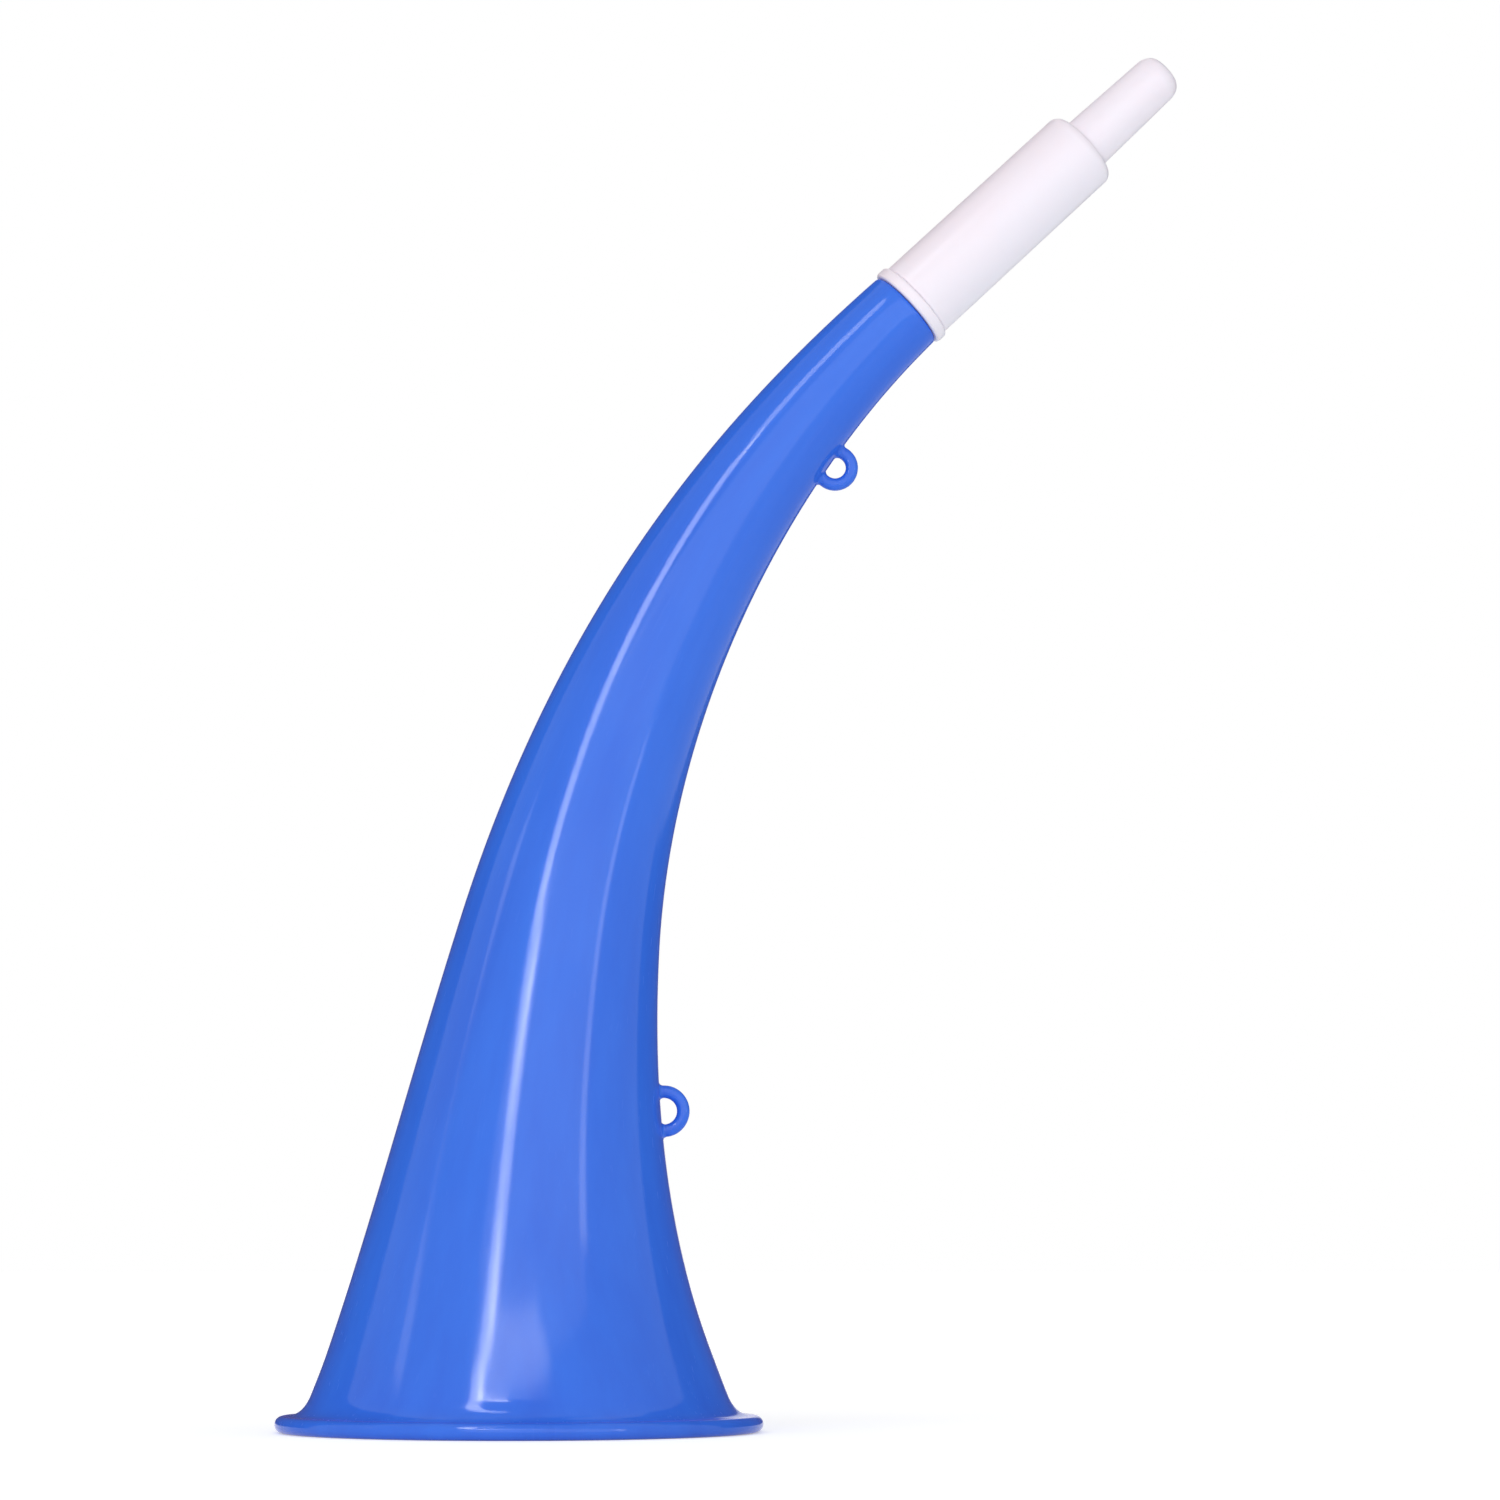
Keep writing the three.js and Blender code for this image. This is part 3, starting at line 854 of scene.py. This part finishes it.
# Places a group; an underscore in a setting stands for the space in its socket's name
def useGroup(tree, group, **settings):
    node = addNode(tree, "Group", node_tree=group)
    for name, value in settings.items():
        feed(tree, node.inputs[name.replace("_", " ")], value)
    return node


def newMaterial(name):
    material = bpy.data.materials.new(name)
    material.use_nodes = True
    tree = material.node_tree
    return material, tree, tree.nodes["Principled BSDF"]


# Sets the sockets that are the same all over the surface
def setPlain(shader, values):
    for name, value in values.items():
        shader.inputs[name].default_value = value


# Roughness from a base value, with smudges and scratches on top
def roughened(tree, skin, finish):
    smudges, scratches = skin.outputs["Smudges"], skin.outputs["Scratches"]
    rough = maths(tree, "MULTIPLY_ADD", smudges, finish["smudged"], finish["roughness"])
    return maths(tree, "MULTIPLY_ADD", scratches, finish["scratched"], rough)


def bumped(tree, shader, height):
    bump = addNode(tree, "Bump")
    feed(tree, bump.inputs["Height"], height)
    feed(tree, bump.inputs["Distance"], 1)
    feed(tree, shader.inputs["Normal"], bump.outputs["Normal"])


blue = {
    "colour": (0.036, 0.165, 0.78, 1),
    "deep": (0.032, 0.14, 0.72, 1),
    "seam": (0.05, 0.21, 0.85, 1),
    "seamShare": 0.5,
    "flowEdge": (0.35, 0.7),
    "swellHeight": 0.00006,
    "roughness": 0.1,
    "smudged": 0.08,  # what smudges and scratches add to the roughness
    "scratched": 0.3,
    "coat": 0.13,
    "coatSmudged": -0.03,
    "plain": {
        "Specular IOR Level": 0.05,
        "Coat Roughness": 0.1,
        "Coat IOR": 2.2,
        "Sheen Weight": 0.14,
        "Sheen Roughness": 0.3,
        "Sheen Tint": (0.4, 0.12, 0.8, 1),
    },
}
milk = {
    "rose": (0.885, 0.79, 0.86, 1),
    "ice": (0.85, 0.835, 0.92, 1),
    "tintReach": 0.009,  # metres to each side of the axis
    "tintFlow": 0.7,
    "swellScale": 90,
    "swellHeight": 0.00002,
    "flowScale": 60,
    "roughness": 0.36,
    "smudged": 0.1,
    "scratched": 0.25,
    "plain": {
        "Specular IOR Level": 0.2,
        "Coat Weight": 0.15,
        "Coat Roughness": 0.25,
        "Subsurface Weight": 0.12,
        "Subsurface Radius": (1, 0.7, 0.6),
        "Subsurface Scale": 0.0012,
    },
}
film = {
    "colour": (0.74, 0.79, 0.83, 1),
    "dull": (0.66, 0.71, 0.75, 1),
    "flowEdge": (0.3, 0.7),
    "swellScale": 300,
    "swellHeight": 0.000004,
    "scratchDepth": 0.000003,
    "roughness": 0.18,
    "scratched": 0.35,
}


def makeHornBlue():
    material, tree, shader = newMaterial("hornBlue")
    straight = addNode(tree, "Attribute", attribute_name="straight").outputs["Vector"]
    skin = useGroup(tree, mouldedSkin, Place=straight, Swell_Height=blue["swellHeight"])
    seam = useGroup(tree, partingLine)
    flow = remap(tree, skin.outputs["Flow"], *blue["flowEdge"])
    colour = blendColours(tree, flow, blue["colour"], blue["deep"])
    mask = maths(tree, "MULTIPLY", seam.outputs["Mask"], blue["seamShare"])
    feed(tree, shader.inputs["Base Color"], blendColours(tree, mask, colour, blue["seam"]))
    feed(tree, shader.inputs["Roughness"], roughened(tree, skin, blue))
    coat = maths(tree, "MULTIPLY_ADD", skin.outputs["Smudges"], blue["coatSmudged"], blue["coat"])
    feed(tree, shader.inputs["Coat Weight"], coat)
    setPlain(shader, blue["plain"])
    height = maths(tree, "ADD", skin.outputs["Height"], seam.outputs["Height"])
    bumped(tree, shader, height)
    return material


def makeMilkWhite():
    material, tree, shader = newMaterial("milkWhite")
    place = addNode(tree, "TexCoord").outputs["Object"]
    skin = useGroup(
        tree,
        mouldedSkin,
        Place=place,
        Swell_Scale=milk["swellScale"],
        Swell_Height=milk["swellHeight"],
        Flow_Scale=milk["flowScale"],
    )
    # Rose on the side away from the bend, ice blue on the side towards it
    split = addNode(tree, "SeparateXYZ")
    feed(tree, split.inputs[0], stretched(tree, place, (1, 1, 1), (0, -throatTurn, 0)))
    reach, flow = milk["tintReach"], milk["tintFlow"]
    side = remap(tree, split.outputs["X"], milkSide - reach, milkSide + reach)
    side = maths(tree, "SUBTRACT", side, flow / 2)
    side = remap(tree, maths(tree, "MULTIPLY_ADD", skin.outputs["Flow"], flow, side), 0, 1)
    feed(tree, shader.inputs["Base Color"], blendColours(tree, side, milk["rose"], milk["ice"]))
    feed(tree, shader.inputs["Roughness"], roughened(tree, skin, milk))
    setPlain(shader, milk["plain"])
    bumped(tree, shader, skin.outputs["Height"])
    return material


def makeReedFilm():
    material, tree, shader = newMaterial("reedFilm")
    place = addNode(tree, "TexCoord").outputs["Object"]
    skin = useGroup(
        tree,
        mouldedSkin,
        Place=place,
        Swell_Scale=film["swellScale"],
        Swell_Height=film["swellHeight"],
        Scratch_Depth=film["scratchDepth"],
    )
    flow = remap(tree, skin.outputs["Flow"], *film["flowEdge"])
    feed(tree, shader.inputs["Base Color"], blendColours(tree, flow, film["colour"], film["dull"]))
    scratches = skin.outputs["Scratches"]
    rough = maths(tree, "MULTIPLY_ADD", scratches, film["scratched"], film["roughness"])
    feed(tree, shader.inputs["Roughness"], rough)
    bumped(tree, shader, skin.outputs["Height"])
    return material


# The mouthpiece axis's place across itself, for the milky tint
milkSide = throatX * mm * math.cos(throatTurn) - throatZ * mm * math.sin(throatTurn)
hornBlue = makeHornBlue()
milkWhite = makeMilkWhite()
reedFilm = makeReedFilm()
for piece, material in (
    (hornShell, hornBlue), (reedBlock, milkWhite), (mouthBarrel, milkWhite),
    (shallotTrough, milkWhite), (reedStrip, reedFilm), (reedWedge, milkWhite),
):
    piece.data.materials.clear()
    piece.data.materials.append(material)

print("floor and light")
white = (1, 1, 1, 1)
light = {
    "middle": Vector((-0.02, -0.015, 0.13)),  # what the lamps are turned towards
    "ambient": 0.55,
    "sun": 1.1,
    "sunSpread": 60,
    "sunFrom": (-28, 22),  # azimuth from the camera's side, elevation
}
ground = {
    "size": 40,
    "drop": 0.05,  # mm, clear of the lip's flat face
    "shade": (0.85, 0.85, 0.85, 1),
    "glow": 0.44,  # what the camera and gloss see on top of the light
    "grainScale": 30,
    "grainEdge": (0.3, 0.7),
    "grain": 0.05,
    "roughness": 0.8,
    "specular": 0.2,
}
flags = {
    "reach": 2,
    "azimuth": 37,  # from straight behind the horn
    "width": 2.4,
    "height": 3,
    "weaveScale": 400,
    "weaveEdge": (0.3, 0.7),
    "dark": (0.06, 0.06, 0.1, 1),
    "pale": (0.09, 0.09, 0.14, 1),
    "roughness": 0.9,
}
# Lamps: name, one end, the other end, width in metres, watts, whether only gloss or only the
# diffuse light shows them, and which way they face where that isn't towards the horn
lamps = [
    ("streakFoot", (-0.1015, -0.279, 0.191), (-0.111, -0.289, 0.1845), 0.045, 0.024, True),
    ("streakLow", (-0.111, -0.289, 0.1845), (-0.152, -0.2735, 0.2157), 0.024, 0.048, True),
    ("streakMiddle", (-0.152, -0.2735, 0.2157), (-0.166, -0.238, 0.294), 0.038, 0.12, True),
    ("streakRise", (-0.166, -0.238, 0.294), (-0.160, -0.209, 0.3465), 0.048, 0.1, True),
    ("streakHigh", (-0.160, -0.209, 0.3465), (-0.141, -0.180, 0.399), 0.052, 0.092, True),
    ("streakTop", (-0.141, -0.180, 0.399), (-0.082, -0.185, 0.445), 0.058, 0.09, True),
    ("sparkle", (-0.30, -0.60, 0.537), (-0.09, -0.60, 0.537), 0.09, 1.4, True, (0, -0.515, -0.857)),
    ("window", (-0.27, -0.68, 0.50), (0.17, -0.68, 0.50), 0.42, 2.7, True, (0, -0.437, -0.897)),
    ("frontPanel", (-1.265, -2.684, 0.80), (2.168, -1.985, 0.80), 1.8, 24, True),
    ("rightStrip", (2.278, -1.943, 0.13), (2.110, -1.740, 1.350), 0.26, 4.4, True),
    ("leftSpot", (-2.719, -0.491, 1.350), (-2.589, -0.752, 1.492), 0.3, 0.7, True),
    ("lowFill", (-0.35, -0.75, 0.03), (0.45, -0.75, 0.03), 0.4, 1.2, False),
    ("rightFill", (0.45, -0.75, 0.08), (0.95, -0.25, 0.08), 0.5, 1.0, False),
    ("underFill", (0.02, -0.2, 0.004), (0.5, -0.2, 0.004), 0.5, 0.3, False, (0, 0, 1)),
]


# 1 for rays from the camera and for those that gloss or glass sends on
def seenRay(tree):
    path = addNode(tree, "LightPath")
    seen = maths(tree, "MAXIMUM", path.outputs["Is Camera Ray"], path.outputs["Is Glossy Ray"])
    return maths(tree, "MAXIMUM", seen, path.outputs["Is Transmission Ray"])


def makeFloor():
    deselectAll()
    bpy.ops.mesh.primitive_plane_add(size=ground["size"])
    floor = bpy.context.object
    floor.name = "floor"
    floor.data.transform(Matrix.Translation((0, 0, -ground["drop"] * mm)))
    material, tree, shader = newMaterial("floorWhite")
    place = addNode(tree, "TexCoord").outputs["Object"]
    grain = noise(tree, place, ground["grainScale"], 4, 0.6)
    grain = remap(tree, grain, *ground["grainEdge"], 0, ground["grain"])
    colour = blendColours(tree, grain, ground["shade"], white)
    feed(tree, shader.inputs["Base Color"], colour)
    shader.inputs["Roughness"].default_value = ground["roughness"]
    shader.inputs["Specular IOR Level"].default_value = ground["specular"]
    glow = maths(tree, "MULTIPLY", seenRay(tree), ground["glow"])
    shader.inputs["Emission Color"].default_value = white
    feed(tree, shader.inputs["Emission Strength"], glow)
    floor.data.materials.append(material)


# Grey flags behind the horn on both sides, which only gloss shows
def makeFlags():
    for side in (-1, 1):
        deselectAll()
        bpy.ops.mesh.primitive_plane_add(size=1)
        flag = bpy.context.object
        flag.name = "flagLeft" if side < 0 else "flagRight"
        turn = math.radians(flags["azimuth"])
        for vertex in flag.data.vertices:
            along, up = vertex.co.x * flags["width"], (vertex.co.y + 0.5) * flags["height"]
            x = flags["reach"] * math.sin(turn) + along * math.cos(turn)
            y = flags["reach"] * math.cos(turn) - along * math.sin(turn)
            vertex.co = Vector((side * x, y, up))
        material, tree, shader = newMaterial("flagGrey")
        place = addNode(tree, "TexCoord").outputs["Object"]
        weave = remap(tree, noise(tree, place, flags["weaveScale"]), *flags["weaveEdge"])
        colour = blendColours(tree, weave, flags["dark"], flags["pale"])
        feed(tree, shader.inputs["Base Color"], colour)
        shader.inputs["Roughness"].default_value = flags["roughness"]
        flag.data.materials.append(material)
        flag.visible_camera = flag.visible_diffuse = flag.visible_shadow = False
        flag.visible_transmission = False


# A soft room lights the horn; the camera and gloss see a white one
def makeWorld():
    world = bpy.data.worlds.new("studio")
    bpy.context.scene.world = world
    world.use_nodes = True
    tree = world.node_tree
    tree.nodes.clear()
    room = addNode(tree, "Background")
    feed(tree, room.inputs["Color"], white)
    feed(tree, room.inputs["Strength"], light["ambient"])
    backdrop = addNode(tree, "Background")
    feed(tree, backdrop.inputs["Color"], white)
    feed(tree, backdrop.inputs["Strength"], 1)
    choose = addNode(tree, "MixShader")
    feed(tree, choose.inputs["Fac"], seenRay(tree))
    feed(tree, choose.inputs[1], room.outputs[0])
    feed(tree, choose.inputs[2], backdrop.outputs[0])
    output = addNode(tree, "OutputWorld")
    feed(tree, output.inputs["Surface"], choose.outputs[0])


# A lamp stretched between two places and turned towards the horn, unless it faces another way
def addLamp(name, start, end, width, power, shown, facing=None):
    low, high = Vector(start), Vector(end)
    data = bpy.data.lights.new(name, "AREA")
    data.shape = "RECTANGLE"
    data.size = (high - low).length
    data.size_y = width
    data.energy = power
    lamp = bpy.data.objects.new(name, data)
    middle = (low + high) / 2
    back = -Vector(facing) if facing else middle - light["middle"]
    back.normalize()
    run = (high - low - (high - low).dot(back) * back).normalized()
    side = back.cross(run)
    lamp.matrix_world = Matrix((
        (run.x, side.x, back.x, middle.x),
        (run.y, side.y, back.y, middle.y),
        (run.z, side.z, back.z, middle.z),
        (0, 0, 0, 1),
    ))
    lamp.visible_camera = False
    lamp.visible_glossy = shown
    lamp.visible_diffuse = not shown
    bpy.context.collection.objects.link(lamp)


def addSun():
    data = bpy.data.lights.new("softSun", "SUN")
    data.energy = light["sun"]
    data.angle = math.radians(light["sunSpread"])
    sun = bpy.data.objects.new("softSun", data)
    azimuth, elevation = (math.radians(angle) for angle in light["sunFrom"])
    away = Vector((math.sin(azimuth), -math.cos(azimuth), math.tan(elevation)))
    sun.rotation_euler = away.to_track_quat("Z", "Y").to_euler()
    sun.visible_glossy = False
    bpy.context.collection.objects.link(sun)


makeFloor()
makeFlags()
makeWorld()
addSun()
for lamp in lamps:
    addLamp(*lamp)

bpy.context.scene.view_settings.view_transform = "Standard"
